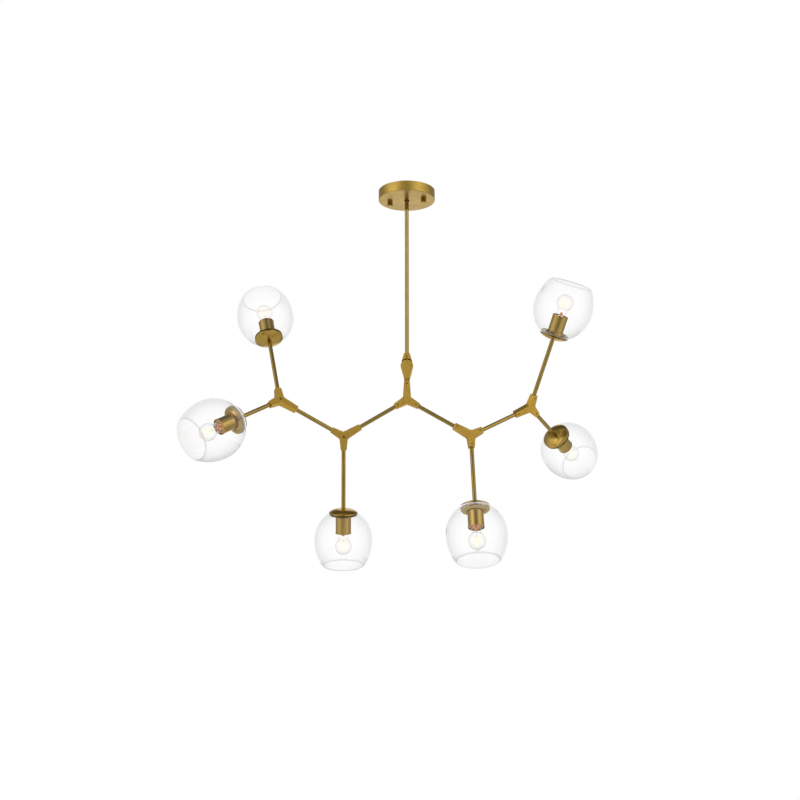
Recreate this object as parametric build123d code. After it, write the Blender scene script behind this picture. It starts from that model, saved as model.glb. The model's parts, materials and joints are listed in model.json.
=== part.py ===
from build123d import *
import math
import os

# Branching linear chandelier: a ceiling canopy, a downrod with a tilting knuckle,
# five three-legged hubs joined by tubes, and six lamps with blown glass shades.
# Units are millimetres. The origin is on the ceiling plane, on the downrod's axis.
# +X runs along the fixture, -Y faces the room side that shows hub fronts, +Z is up.

os.makedirs("parts", exist_ok=True)

# Layout of the branches
TRUNK_DROP = 567.0
HUB_SPACING = 188.0
LAMP_REACH = 200.0
SIDE_LAMP_REACH = 145.0
LEG_ANGLE = 120.0
TURN_LOWER_LEFT = -19.0
TURN_UPPER_LEFT = 47.5
TURN_LOWER_RIGHT = -23.0
TURN_UPPER_RIGHT = 55.5

# Tube that makes every arm and the downrod
TUBE_DIAMETER = 10.5
TUBE_WALL = 1.2
RUNNING_CLEARANCE = 0.05

# Canopy
CANOPY_DIAMETER = 150.0
CANOPY_HEIGHT = 26.0
CANOPY_WALL = 1.2
CANOPY_EDGE = 1.2
CANOPY_TURN = -13.0

# Crossbar that the electrician screws to the ceiling box
BAR_LENGTH = 116.0
BAR_WIDTH = 22.0
BAR_THICKNESS = 2.5
BOX_SCREW_SPACING = 70.0
BOX_SCREW_HOLE = 4.8
STUD_SPACING = 93.0
STUD_DIAMETER = 5.0
STUD_CLEARANCE = 0.6
STUD_SHOWING = 6.0
CENTRE_HOLE = 16.0

# Knurled nuts under the canopy
NUT_DIAMETER = 13.6
NUT_HEIGHT = 10.0
NUT_FLUTES = 18
NUT_FLUTE_DEPTH = 0.5
NUT_BAND = 2.2
NUT_GROOVE_WIDTH = 0.8
NUT_GROOVE_DEPTH = 0.7
NUT_CHAMFER = 1.0

# Black bushing and lock nut where the downrod enters the canopy
BUSHING_DIAMETER = 13.4
BUSHING_LIP = 1.0
BUSHING_FLANGE = 20.0
BUSHING_FLANGE_THICKNESS = 2.5
ROD_NUT_ACROSS = 17.0
ROD_NUT_HEIGHT = 5.0
ROD_THREAD_PAST_NUT = 3.0

# Knuckle between the downrod and the centre hub
KNUCKLE_TOP = 121.5
KNUCKLE_PIVOT = 89.0
KNUCKLE_FOOT = 54.5
KNUCKLE_RADIUS = 16.3
KNUCKLE_THICKNESS = 16.0
KNUCKLE_TOP_WIDTH = 15.6
KNUCKLE_FOOT_WIDTH = 14.8
KNUCKLE_GAP = 2.2
KNUCKLE_EDGE = 1.2
CHEEK_GAP = 0.3
ROD_SOCKET_DEPTH = 13.0
PIN_DIAMETER = 6.0
PIN_HEAD_DIAMETER = 10.0
PIN_HEAD_HEIGHT = 3.0
PIN_HEAD_CLEARANCE = 0.6
PIN_THREAD_END = 2.0
GROOVE_DIAMETER = 13.6

# Hubs
LONG_LEG = 49.5
SHORT_LEG = 35.0
LEG_ROOT_WIDTH = 21.0
LEG_END_WIDTH = 14.6
HUB_THICKNESS = 15.0
HUB_COVER = 1.8
HUB_WALL = 2.2
HUB_FRONT_WALL = 1.6
SOCKET_LEAD = 1.0
CROTCH_RADIUS = 8.0
HUB_EDGE = 0.8
SOCKET_DEPTH = 18.0
SOCKET_RUN_OUT = 1.0
BOSS_DIAMETER = 7.0
COVER_SCREW_DIAMETER = 3.0
COVER_SCREW_HEAD = 7.0
COVER_SCREW_DOME = 1.8
SET_SCREW_DIAMETER = 4.0
SET_SCREW_FROM_END = 8.0
SET_SCREW_SINK = 0.5
SET_SCREW_TIP_CLEARANCE = 0.2
HEX_KEY = 2.0
HEX_KEY_DEPTH_SHARE = 0.6

# Lamp: cap, glass, cup, lampholder and bulb
CAP_DIAMETER = 73.6
CAP_HEIGHT = 12.0
CAP_RIM = 2.6
CAP_RIM_EDGE = 1.0
CAP_WALL = 1.3
CAP_FLAT = 16.0
CAP_BULGE = 2.7
THREAD_DIAMETER = 9.5
THREAD_CLEARANCE = 0.05
THREADED_END_BORE = 7.1
GLASS_DIAMETER = 151.0
GLASS_HEIGHT = 139.0
GLASS_BELLY = 70.0
GLASS_SHOULDER = 36.4
GLASS_MOUTH_DIAMETER = 106.0
GLASS_WALL = 2.4
GLASS_TOP = 3.0
GLASS_STATIONS = 10
GLASS_HOLE = 38.0
GLASS_LIP_SHARE = 0.4
CUP_DIAMETER = 39.8
CUP_END = 53.0
CUP_WALL = 1.2
CUP_FLANGE = 72.0
CUP_FLANGE_THICKNESS = 2.0
CUP_FLANGE_BEAD = 1.6
CUP_FLANGE_DISH = 1.2
CUP_COLLAR_FOOT = 52.0
CUP_COLLAR_HEAD = 43.2
CUP_COLLAR_END = 10.5
CUP_LIP = 0.5
CUP_LIP_HEIGHT = 2.5
HOLDER_START = GLASS_TOP + CUP_FLANGE_THICKNESS
HOLDER_DIAMETER = 36.0
HOLDER_THREAD = 9.0
HOLDER_FLOOR = 21.0
HOLDER_END = 51.5
HOLDER_CHAMFER = 1.0
BULB_BASE_DIAMETER = 26.0
BULB_BASE_SHOULDER = 3.0
BULB_BASE_SLOPE = 2.0
BULB_BASE_CLEARANCE = 0.25
BULB_CONTACT_DIAMETER = 9.0
BULB_CONTACT_HEIGHT = 2.5
BULB_DIAMETER = 44.0
BULB_CENTRE = 87.0
BULB_NECK_DIAMETER = 24.0
BULB_NECK_ANGLE = 52.0
BULB_NECK_WAIST = (0.6, 0.8)


def turned(vector, axis, degrees):
    """The vector turned about an axis through the origin."""
    return vector.rotate(Axis((0, 0, 0), tuple(axis)), degrees)


def ring(outer, inner, bottom, top):
    """A tube or washer about the local Z axis between two heights."""
    height = top - bottom
    body = Cylinder(outer / 2, height, align=(Align.CENTER, Align.CENTER, Align.MIN))
    body -= Cylinder(inner / 2, height, align=(Align.CENTER, Align.CENTER, Align.MIN))
    return Pos(0, 0, bottom) * body


def rod(diameter, bottom, top):
    """A solid cylinder about the local Z axis between two heights."""
    body = Cylinder(diameter / 2, top - bottom, align=(Align.CENTER, Align.CENTER, Align.MIN))
    return Pos(0, 0, bottom) * body


def hexagon_nut(across, hole, bottom, top):
    """A hexagon nut about the local Z axis between two heights."""
    outline = RegularPolygon(across / 2, 6, major_radius=False)
    body = Pos(0, 0, bottom) * extrude(outline, top - bottom)
    return body - rod(hole, bottom, top)


def tube(bottom, top):
    """A length of the arm tube about the local Z axis."""
    return ring(TUBE_DIAMETER, TUBE_DIAMETER - 2 * TUBE_WALL, bottom, top)


def save(name, solids, location=Location()):
    """Write one node, moved to its place in the fixture."""
    placed = [location * solid for solid in solids]
    shape = placed[0] if len(placed) == 1 else Compound(children=placed)
    export_step(shape, f"parts/{name}.step")


# Directions of the legs and arms, worked out from hub to hub

front = Vector(0, -1, 0)
up = Vector(0, 0, 1)


def branch(direction, normal, turn, side):
    """The hub that an arm carries: its face direction, onward arm and lamp directions."""
    normal = turned(normal, direction, turn)
    back = direction * -1
    first = turned(back, normal, side * LEG_ANGLE)
    second = turned(back, normal, -side * LEG_ANGLE)
    return normal, first, second


centre = Vector(0, 0, -TRUNK_DROP)
to_lower_left = turned(up, front, LEG_ANGLE)
to_lower_right = turned(up, front, -LEG_ANGLE)
lower_left = centre + to_lower_left * HUB_SPACING
lower_right = centre + to_lower_right * HUB_SPACING
face_ll, to_upper_left, lamp_bottom_left = branch(to_lower_left, front, TURN_LOWER_LEFT, 1)
face_lr, to_upper_right, lamp_bottom_right = branch(to_lower_right, front, TURN_LOWER_RIGHT, -1)
upper_left = lower_left + to_upper_left * HUB_SPACING
upper_right = lower_right + to_upper_right * HUB_SPACING
face_ul, lamp_top_left, lamp_far_left = branch(to_upper_left, face_ll, TURN_UPPER_LEFT, 1)
face_ur, lamp_top_right, lamp_far_right = branch(to_upper_right, face_lr, TURN_UPPER_RIGHT, -1)


# Canopy and what fastens it

def make_canopy():
    """A drawn cup, open to the ceiling, with holes for the studs and the downrod."""
    radius = CANOPY_DIAMETER / 2
    cup = rod(CANOPY_DIAMETER, -CANOPY_HEIGHT, 0)
    cup = fillet(cup.edges().group_by(Axis.Z)[0], CANOPY_EDGE)
    cup -= rod(2 * (radius - CANOPY_WALL), CANOPY_WALL - CANOPY_HEIGHT, 0)
    cup -= rod(BUSHING_DIAMETER, -CANOPY_HEIGHT, 0)
    for side in (-1, 1):
        hole = rod(STUD_DIAMETER + STUD_CLEARANCE, -CANOPY_HEIGHT, 0)
        cup -= Pos(side * STUD_SPACING / 2, 0, 0) * hole
    return cup


def make_crossbar():
    """A steel strip with two holes for the ceiling screws and two for the studs."""
    flat = SlotOverall(BAR_LENGTH, BAR_WIDTH)
    flat -= Circle(CENTRE_HOLE / 2)
    for side in (-1, 1):
        flat -= Pos(side * BOX_SCREW_SPACING / 2, 0) * Circle(BOX_SCREW_HOLE / 2)
        flat -= Pos(side * STUD_SPACING / 2, 0) * Circle(STUD_DIAMETER / 2)
    return Pos(0, 0, -BAR_THICKNESS) * extrude(flat, BAR_THICKNESS)


def make_canopy_nut():
    """A knurled thumb nut with a plain band and a chamfered end, hung below the canopy."""
    body = rod(NUT_DIAMETER, -NUT_HEIGHT, 0)
    body = chamfer(body.edges().group_by(Axis.Z)[0], NUT_CHAMFER)
    groove_bottom = -NUT_BAND - NUT_GROOVE_WIDTH
    groove_root = NUT_DIAMETER - 2 * NUT_GROOVE_DEPTH
    body -= ring(NUT_DIAMETER + NUT_CHAMFER, groove_root, groove_bottom, -NUT_BAND)
    flute = rod(2 * NUT_FLUTE_DEPTH, -NUT_HEIGHT, groove_bottom)
    for place in PolarLocations(NUT_DIAMETER / 2, NUT_FLUTES):
        body -= place * flute
    return body - rod(STUD_DIAMETER, -STUD_SHOWING, 0)


canopy_turn = Rot(0, 0, CANOPY_TURN)
stud = rod(STUD_DIAMETER, -CANOPY_HEIGHT - STUD_SHOWING, 0)
stud_places = [Pos(side * STUD_SPACING / 2, 0, 0) for side in (-1, 1)]
nut_seat = Pos(0, 0, -CANOPY_HEIGHT)
save("canopy", [make_canopy()], canopy_turn)
save("crossbar", [make_crossbar()], canopy_turn)
studs = [place * stud for place in stud_places]
canopy_nuts = [place * nut_seat * make_canopy_nut() for place in stud_places]
save("canopy_fasteners", studs + canopy_nuts, canopy_turn)

# Downrod with its bushing and lock nut

plate_top = CANOPY_WALL - CANOPY_HEIGHT
flange_top = plate_top + BUSHING_FLANGE_THICKNESS
rod_nut_top = flange_top + ROD_NUT_HEIGHT
rod_top = rod_nut_top + ROD_THREAD_PAST_NUT
rod_bottom = KNUCKLE_TOP - ROD_SOCKET_DEPTH - TRUNK_DROP
bushing = rod(BUSHING_DIAMETER, -CANOPY_HEIGHT - BUSHING_LIP, plate_top)
bushing += rod(BUSHING_FLANGE, plate_top, flange_top)
bushing -= rod(TUBE_DIAMETER, -CANOPY_HEIGHT - BUSHING_LIP, flange_top)
save("rod_bushing", [bushing])
rod_lock_nut = hexagon_nut(ROD_NUT_ACROSS, TUBE_DIAMETER, flange_top, rod_nut_top)
save("downrod", [tube(rod_bottom, rod_top)])


# Knuckle: two half-lapped cheeks on a cross pin, seen from the front in the local XY plane

def knuckle_outline(end_height, end_width):
    """A round head at the pivot, drawn in to a narrow square end."""
    half = end_width / 2
    corner = math.atan2(abs(end_height), half)
    touch = corner - math.acos(KNUCKLE_RADIUS / math.hypot(half, end_height))
    x_touch = KNUCKLE_RADIUS * math.cos(touch)
    y_touch = math.copysign(KNUCKLE_RADIUS * math.sin(touch), end_height)
    wedge = Polygon(
        (-x_touch, y_touch),
        (-half, end_height),
        (half, end_height),
        (x_touch, y_touch),
        align=None,
    )
    return Circle(KNUCKLE_RADIUS) + wedge


def make_knuckle(end_height, end_width, cheek_side):
    """One half of the knuckle; cheek_side says which half of the thickness is kept."""
    half_thickness = KNUCKLE_THICKNESS / 2
    body = extrude(knuckle_outline(end_height, end_width), half_thickness, both=True)
    for end in (-1, 0):
        body = fillet(body.faces().sort_by(Axis.Z)[end].edges(), KNUCKLE_EDGE)
    clear = KNUCKLE_RADIUS + KNUCKLE_GAP
    relief = rod(2 * clear, -KNUCKLE_THICKNESS, CHEEK_GAP / 2)
    if cheek_side < 0:
        relief = rod(2 * clear, -CHEEK_GAP / 2, KNUCKLE_THICKNESS)
    return body - relief


knuckle_frame = Plane(
    origin=centre + up * KNUCKLE_PIVOT, x_dir=(1, 0, 0), z_dir=front
).location
half_thickness = KNUCKLE_THICKNESS / 2
upper_height = KNUCKLE_TOP - KNUCKLE_PIVOT
lower_height = KNUCKLE_FOOT - KNUCKLE_PIVOT
pin_end = half_thickness - PIN_THREAD_END
pin_bore = PIN_DIAMETER + 2 * RUNNING_CLEARANCE

knuckle_upper = make_knuckle(upper_height, KNUCKLE_TOP_WIDTH, -1)
knuckle_upper -= rod(pin_bore, -half_thickness, 0)
pin_head_top = PIN_HEAD_HEIGHT - half_thickness
knuckle_upper -= rod(PIN_HEAD_DIAMETER + PIN_HEAD_CLEARANCE, -half_thickness, pin_head_top)
socket_axis = Pos(0, upper_height, 0) * Rot(90, 0, 0)
knuckle_upper -= socket_axis * rod(TUBE_DIAMETER + 2 * RUNNING_CLEARANCE, 0, ROD_SOCKET_DEPTH)
set_screw_height = upper_height - SET_SCREW_FROM_END
knuckle_upper -= Pos(0, set_screw_height, 0) * rod(SET_SCREW_DIAMETER, 0, half_thickness)

knuckle_lower = make_knuckle(lower_height, KNUCKLE_FOOT_WIDTH, 1)
knuckle_lower -= rod(PIN_DIAMETER, 0, pin_end)
foot_to_hub = KNUCKLE_FOOT - LONG_LEG
foot_axis = Pos(0, lower_height, 0) * Rot(90, 0, 0)
knuckle_lower += foot_axis * rod(GROOVE_DIAMETER, 0, foot_to_hub)
knuckle_lower += foot_axis * rod(TUBE_DIAMETER, foot_to_hub, foot_to_hub + SOCKET_DEPTH)
wire_way = TUBE_DIAMETER - 2 * TUBE_WALL
knuckle_lower -= foot_axis * rod(wire_way, 0, foot_to_hub + SOCKET_DEPTH)

knuckle_pin = rod(PIN_DIAMETER, -half_thickness, pin_end)
knuckle_pin += rod(PIN_HEAD_DIAMETER, -half_thickness, pin_head_top)
pin_key = extrude(RegularPolygon(PIN_DIAMETER / 3, 6, major_radius=False), PIN_HEAD_HEIGHT / 2)
knuckle_pin -= Pos(0, 0, -half_thickness) * pin_key


def make_set_screw(bottom, top):
    """A headless screw about the local Z axis with a hexagon socket in its top."""
    key_depth = (top - bottom) * HEX_KEY_DEPTH_SHARE
    key = extrude(RegularPolygon(HEX_KEY / 2, 6, major_radius=False), key_depth)
    return rod(SET_SCREW_DIAMETER, bottom, top) - Pos(0, 0, top - key_depth) * key


tube_top = TUBE_DIAMETER / 2 + SET_SCREW_TIP_CLEARANCE
rod_screw = Pos(0, set_screw_height, 0) * make_set_screw(tube_top, half_thickness - SET_SCREW_SINK)
rod_fasteners = [rod_lock_nut, knuckle_frame * rod_screw, knuckle_frame * knuckle_pin]
save("knuckle_upper", [knuckle_upper], knuckle_frame)
save("knuckle_lower", [knuckle_lower], knuckle_frame)
save("rod_fasteners", rod_fasteners)


# Hubs: the long leg points along local +Y and the front face looks along local +Z

LEGS = ((90.0, LONG_LEG), (90.0 + LEG_ANGLE, SHORT_LEG), (90.0 - LEG_ANGLE, SHORT_LEG))


def polar(radius, degrees, sideways=0.0):
    """A point at a distance along a leg, moved sideways from the leg's centre line."""
    angle = math.radians(degrees)
    x = radius * math.cos(angle) - sideways * math.sin(angle)
    y = radius * math.sin(angle) + sideways * math.cos(angle)
    return (x, y)


def hub_outline(inset=0.0, shorten=0.0):
    """The three tapered legs with rounded crotches, drawn in evenly by the inset."""
    crotch = (LEG_ROOT_WIDTH / 2 - inset) / math.sin(math.radians(LEG_ANGLE / 2))
    half_end = LEG_END_WIDTH / 2 - inset
    points = []
    for angle, length in sorted(LEGS):
        reach = length - shorten
        taper = (LEG_ROOT_WIDTH - LEG_END_WIDTH) / 2 * shorten / length
        points.append(polar(reach, angle, -half_end - taper))
        points.append(polar(reach, angle, half_end + taper))
        points.append(polar(crotch, angle + LEG_ANGLE / 2))
    face = make_face(Polyline(*points, close=True))
    inner = [v for v in face.vertices() if math.hypot(v.X, v.Y) < SHORT_LEG / 2]
    return fillet(inner, CROTCH_RADIUS)


def make_hub_body():
    """The casting: leg sockets, a wire chamber open to the back and a screw boss."""
    top = HUB_THICKNESS / 2
    bottom = HUB_COVER - HUB_THICKNESS / 2
    body = Pos(0, 0, bottom) * extrude(hub_outline(), top - bottom)
    body = fillet(body.faces().sort_by(Axis.Z)[-1].edges(), HUB_EDGE)
    chamber = extrude(hub_outline(HUB_WALL, SOCKET_DEPTH), top - HUB_FRONT_WALL - bottom)
    body -= Pos(0, 0, bottom) * chamber
    body += rod(BOSS_DIAMETER, bottom, top - HUB_FRONT_WALL / 2)
    body -= rod(COVER_SCREW_DIAMETER, bottom, top - HUB_WALL)
    bore = TUBE_DIAMETER + 2 * RUNNING_CLEARANCE
    for angle, length in LEGS:
        inner_end = length - SOCKET_DEPTH - SOCKET_LEAD
        body -= Rot(0, 0, angle) * Rot(0, 90, 0) * rod(bore, inner_end, length + SOCKET_RUN_OUT)
        x, y = polar(length - SET_SCREW_FROM_END, angle)
        body -= Pos(x, y, 0) * rod(SET_SCREW_DIAMETER, 0, top)
    return body


def make_hub_screws():
    """One set screw near the end of each leg, in from the front face."""
    top = HUB_THICKNESS / 2 - SET_SCREW_SINK
    screws = []
    for angle, length in LEGS:
        x, y = polar(length - SET_SCREW_FROM_END, angle)
        screws.append(Pos(x, y, 0) * make_set_screw(tube_top, top))
    return screws


def make_hub_cover():
    """The flat back plate that closes the wire chamber."""
    back = -HUB_THICKNESS / 2
    plate = Pos(0, 0, back) * extrude(hub_outline(), HUB_COVER)
    plate = fillet(plate.faces().sort_by(Axis.Z)[0].edges(), HUB_EDGE)
    return plate - rod(COVER_SCREW_DIAMETER, back, back + HUB_COVER)


def make_cover_screw():
    """A domed screw through the cover into the boss."""
    back = -HUB_THICKNESS / 2
    shank = rod(COVER_SCREW_DIAMETER, back, HUB_THICKNESS / 4)
    half = COVER_SCREW_HEAD / 2
    dome_radius = (half**2 + COVER_SCREW_DOME**2) / (2 * COVER_SCREW_DOME)
    ball = Pos(0, 0, back - COVER_SCREW_DOME + dome_radius) * Sphere(dome_radius)
    head = ball & rod(COVER_SCREW_HEAD, back - COVER_SCREW_DOME, back)
    return head + shank


hub_body = make_hub_body()
hub_screws = make_hub_screws()
hub_cover = make_hub_cover()
cover_screw = make_cover_screw()

HUBS = {
    "center": (centre, up, front),
    "lower_left": (lower_left, to_lower_left * -1, face_ll * -1),
    "lower_right": (lower_right, to_lower_right * -1, face_lr),
    "upper_left": (upper_left, to_upper_left * -1, face_ul * -1),
    "upper_right": (upper_right, to_upper_right * -1, face_ur),
}

for name, (place, toward_carrier, facing) in HUBS.items():
    hub_frame = Plane(origin=place, x_dir=toward_carrier.cross(facing), z_dir=facing).location
    save(f"hub_{name}", [hub_body], hub_frame)
    save(f"hub_cover_{name}", [hub_cover], hub_frame)
    save(f"hub_screws_{name}", [*hub_screws, cover_screw], hub_frame)


# Arms between hubs, each along its own local Z axis from the inner hub

def along(place, direction, sideways):
    """A frame whose Z axis runs along an arm from a hub."""
    return Plane(origin=place, x_dir=sideways, z_dir=direction).location


arm_start = SHORT_LEG - SOCKET_DEPTH
arm_end = HUB_SPACING - LONG_LEG + SOCKET_DEPTH
arm = tube(arm_start, arm_end)
inner_arms = [
    along(centre, to_lower_left, front) * arm,
    along(centre, to_lower_right, front) * arm,
]
save("inner_arms", inner_arms)
save("outer_arm_left", [arm], along(lower_left, to_upper_left, face_ll))
save("outer_arm_right", [arm], along(lower_right, to_upper_right, face_lr))


# Lamps: local Z runs from the hub towards the glass mouth, zero at the top of the glass

def make_lamp_arm(reach):
    """The tube to the cap, turned down to a threaded end that passes into the cup."""
    thread_end = HOLDER_START + HOLDER_THREAD
    body = rod(TUBE_DIAMETER, arm_start - reach, -CAP_HEIGHT)
    body += rod(THREAD_DIAMETER, -CAP_HEIGHT, thread_end)
    return body - rod(THREADED_END_BORE, arm_start - reach, thread_end)


def make_cap():
    """A spun dome whose rounded rim sits on the glass."""
    rim = CAP_DIAMETER / 2
    flat = CAP_FLAT / 2
    hole = THREAD_DIAMETER / 2 + THREAD_CLEARANCE
    middle = (rim + flat) / 2
    middle_height = -(CAP_HEIGHT + CAP_RIM) / 2 - CAP_BULGE
    outer_arc = ThreePointArc((rim, -CAP_RIM), (middle, middle_height), (flat, -CAP_HEIGHT))
    inner_arc = ThreePointArc(
        (flat, CAP_WALL - CAP_HEIGHT),
        (middle - CAP_WALL / 3, CAP_WALL + middle_height),
        (rim - CAP_WALL, 0),
    )
    outline = [
        Line((rim - CAP_WALL, 0), (rim, 0)),
        Line((rim, 0), (rim, -CAP_RIM)),
        outer_arc,
        Line((flat, -CAP_HEIGHT), (hole, -CAP_HEIGHT)),
        Line((hole, -CAP_HEIGHT), (hole, CAP_WALL - CAP_HEIGHT)),
        Line((hole, CAP_WALL - CAP_HEIGHT), (flat, CAP_WALL - CAP_HEIGHT)),
        inner_arc,
    ]
    dome = revolve(Plane.XZ * make_face(Wire(outline)), Axis.Z)
    rim_edges = dome.edges().filter_by(GeomType.CIRCLE).sort_by(SortBy.RADIUS)[-2:]
    return fillet(rim_edges, CAP_RIM_EDGE)


def glass_profile(inset, top):
    """A curve down one face of the glass: a half ellipse above the belly, a longer one below."""
    radius = GLASS_DIAMETER / 2 - inset
    mouth = GLASS_MOUTH_DIAMETER / 2
    above = GLASS_BELLY / math.sqrt(1 - (2 * GLASS_SHOULDER / GLASS_DIAMETER) ** 2) - inset
    below = (GLASS_HEIGHT - GLASS_BELLY) / math.sqrt(1 - (2 * mouth / GLASS_DIAMETER) ** 2) - inset
    first = -math.asin((GLASS_BELLY - top) / above)
    last = math.asin((GLASS_HEIGHT - GLASS_BELLY) / below)
    points = []
    for step in range(GLASS_STATIONS + 1):
        angle = first + (last - first) * step / GLASS_STATIONS
        depth = above if angle < 0 else below
        points.append((radius * math.cos(angle), GLASS_BELLY + depth * math.sin(angle)))
    return Spline(*points)


def make_shade():
    """Blown glass: a flat fitter top, a full shoulder and belly, and a drawn-in mouth."""
    outer = glass_profile(0, 0)
    inner = glass_profile(GLASS_WALL, GLASS_TOP)
    hole = GLASS_HOLE / 2
    outline = [
        Line((hole, 0), outer @ 0),
        outer,
        Line(outer @ 1, inner @ 1),
        inner,
        Line(inner @ 0, (hole, GLASS_TOP)),
        Line((hole, GLASS_TOP), (hole, 0)),
    ]
    glass = revolve(Plane.XZ * make_face(Wire(outline)), Axis.Z)
    lip = glass.edges().filter_by(GeomType.CIRCLE).group_by(Axis.Z)[-1]
    return fillet(lip, GLASS_WALL * GLASS_LIP_SHARE)


def make_socket_cup():
    """The brass cup: a dished flange that clamps the glass, a collar and a plain barrel."""
    hole = THREAD_DIAMETER / 2 + THREAD_CLEARANCE
    flange = CUP_FLANGE / 2
    bead = CUP_FLANGE_BEAD
    bead_top = GLASS_TOP + 2 * bead
    foot = CUP_COLLAR_FOOT / 2
    head = CUP_COLLAR_HEAD / 2
    barrel = CUP_DIAMETER / 2
    inside = barrel - CUP_WALL
    lip = barrel + CUP_LIP
    lip_start = CUP_END - CUP_LIP_HEIGHT
    dish = ((flange - bead + foot) / 2, bead_top - CUP_FLANGE_DISH)
    outline = [
        Line((hole, GLASS_TOP), (flange - bead, GLASS_TOP)),
        ThreePointArc((flange - bead, GLASS_TOP), (flange, GLASS_TOP + bead), (flange - bead, bead_top)),
        ThreePointArc((flange - bead, bead_top), dish, (foot, bead_top)),
        Line((foot, bead_top), (head, CUP_COLLAR_END)),
        Line((head, CUP_COLLAR_END), (barrel, CUP_COLLAR_END)),
        Line((barrel, CUP_COLLAR_END), (barrel, lip_start)),
        Line((barrel, lip_start), (lip, lip_start)),
        Line((lip, lip_start), (lip, CUP_END)),
        Line((lip, CUP_END), (inside, CUP_END)),
        Line((inside, CUP_END), (inside, HOLDER_START)),
        Line((inside, HOLDER_START), (hole, HOLDER_START)),
        Line((hole, HOLDER_START), (hole, GLASS_TOP)),
    ]
    return revolve(Plane.XZ * make_face(Wire(outline)), Axis.Z)


def make_lampholder():
    """The moulded holder, screwed on the arm's thread so that it clamps cup, glass and cap."""
    body = rod(HOLDER_DIAMETER, HOLDER_START, HOLDER_END)
    body = chamfer(body.edges().group_by(Axis.Z)[-1], HOLDER_CHAMFER)
    body -= rod(BULB_BASE_DIAMETER + 2 * BULB_BASE_CLEARANCE, HOLDER_FLOOR, HOLDER_END)
    return body - rod(THREAD_DIAMETER, HOLDER_START, HOLDER_START + HOLDER_THREAD)


def make_bulb():
    """A small globe bulb: contact, screw base, neck and round envelope."""
    contact = BULB_CONTACT_DIAMETER / 2
    contact_top = HOLDER_FLOOR + BULB_CONTACT_HEIGHT
    base = BULB_BASE_DIAMETER / 2
    shoulder = base - BULB_BASE_SHOULDER
    base_start = contact_top + BULB_BASE_SLOPE
    globe = BULB_DIAMETER / 2
    crown = BULB_CENTRE + globe
    neck = BULB_NECK_DIAMETER / 2
    angle = math.radians(BULB_NECK_ANGLE)
    touch = (globe * math.cos(angle), BULB_CENTRE - globe * math.sin(angle))
    waist_in, waist_down = BULB_NECK_WAIST
    waist = ((neck + touch[0]) / 2 - waist_in, (HOLDER_END + touch[1]) / 2 + waist_down)
    outline = [
        Line((0, HOLDER_FLOOR), (contact, HOLDER_FLOOR)),
        Line((contact, HOLDER_FLOOR), (shoulder, contact_top)),
        Line((shoulder, contact_top), (base, base_start)),
        Line((base, base_start), (base, HOLDER_END)),
        Line((base, HOLDER_END), (neck, HOLDER_END)),
        ThreePointArc((neck, HOLDER_END), waist, touch),
        ThreePointArc(touch, (globe, BULB_CENTRE), (0, crown)),
        Line((0, crown), (0, HOLDER_FLOOR)),
    ]
    return revolve(Plane.XZ * make_face(Wire(outline)), Axis.Z)


LAMPS = {
    "far_left": (upper_left, lamp_far_left, face_ul, SIDE_LAMP_REACH),
    "top_left": (upper_left, lamp_top_left, face_ul, LAMP_REACH),
    "bottom_left": (lower_left, lamp_bottom_left, face_ll, LAMP_REACH),
    "bottom_right": (lower_right, lamp_bottom_right, face_lr, LAMP_REACH),
    "top_right": (upper_right, lamp_top_right, face_ur, LAMP_REACH),
    "far_right": (upper_right, lamp_far_right, face_ur, SIDE_LAMP_REACH),
}

# The two lamps on one upper hub share a node for their identical lampholders
HOLDER_GROUPS = {
    "far_left": "upper_left",
    "top_left": "upper_left",
    "bottom_left": "bottom_left",
    "bottom_right": "bottom_right",
    "top_right": "upper_right",
    "far_right": "upper_right",
}

lampholders = {}
cap = make_cap()
shade = make_shade()
socket_cup = make_socket_cup()
lampholder = make_lampholder()
bulb = make_bulb()

for name, (place, direction, sideways, reach) in LAMPS.items():
    lamp_frame = along(place + direction * reach, direction, sideways)
    save(f"lamp_arm_{name}", [make_lamp_arm(reach)], lamp_frame)
    save(f"cap_{name}", [cap], lamp_frame)
    save(f"shade_{name}", [shade], lamp_frame)
    save(f"socket_cup_{name}", [socket_cup], lamp_frame)
    save(f"bulb_{name}", [bulb], lamp_frame)
    holders = lampholders.setdefault(HOLDER_GROUPS[name], [])
    holders.append(lamp_frame * lampholder)

for name, solids in lampholders.items():
    save(f"lampholder_{name}", solids)
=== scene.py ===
import json
import math

import bmesh
import bpy
from mathutils import Matrix, Vector


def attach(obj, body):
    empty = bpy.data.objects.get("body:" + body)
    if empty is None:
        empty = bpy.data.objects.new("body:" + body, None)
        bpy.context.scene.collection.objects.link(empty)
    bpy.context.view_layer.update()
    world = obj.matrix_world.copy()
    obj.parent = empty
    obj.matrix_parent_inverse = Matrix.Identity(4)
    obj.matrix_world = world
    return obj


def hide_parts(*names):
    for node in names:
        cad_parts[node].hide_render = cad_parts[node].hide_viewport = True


# A branching linear chandelier. Metres; the origin is on the ceiling at the canopy's centre.

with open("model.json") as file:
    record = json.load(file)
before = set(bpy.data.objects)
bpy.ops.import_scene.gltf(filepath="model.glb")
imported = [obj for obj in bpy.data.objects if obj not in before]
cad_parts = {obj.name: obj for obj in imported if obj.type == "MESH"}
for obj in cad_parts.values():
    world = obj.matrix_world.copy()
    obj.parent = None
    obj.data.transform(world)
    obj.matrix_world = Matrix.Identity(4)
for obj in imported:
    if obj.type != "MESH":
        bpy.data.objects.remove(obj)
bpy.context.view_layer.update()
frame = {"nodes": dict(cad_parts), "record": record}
nodes = frame["nodes"]
scene = bpy.context.scene
scene.view_settings.view_transform = "Standard"

# Layout, repeated from the solids

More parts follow.
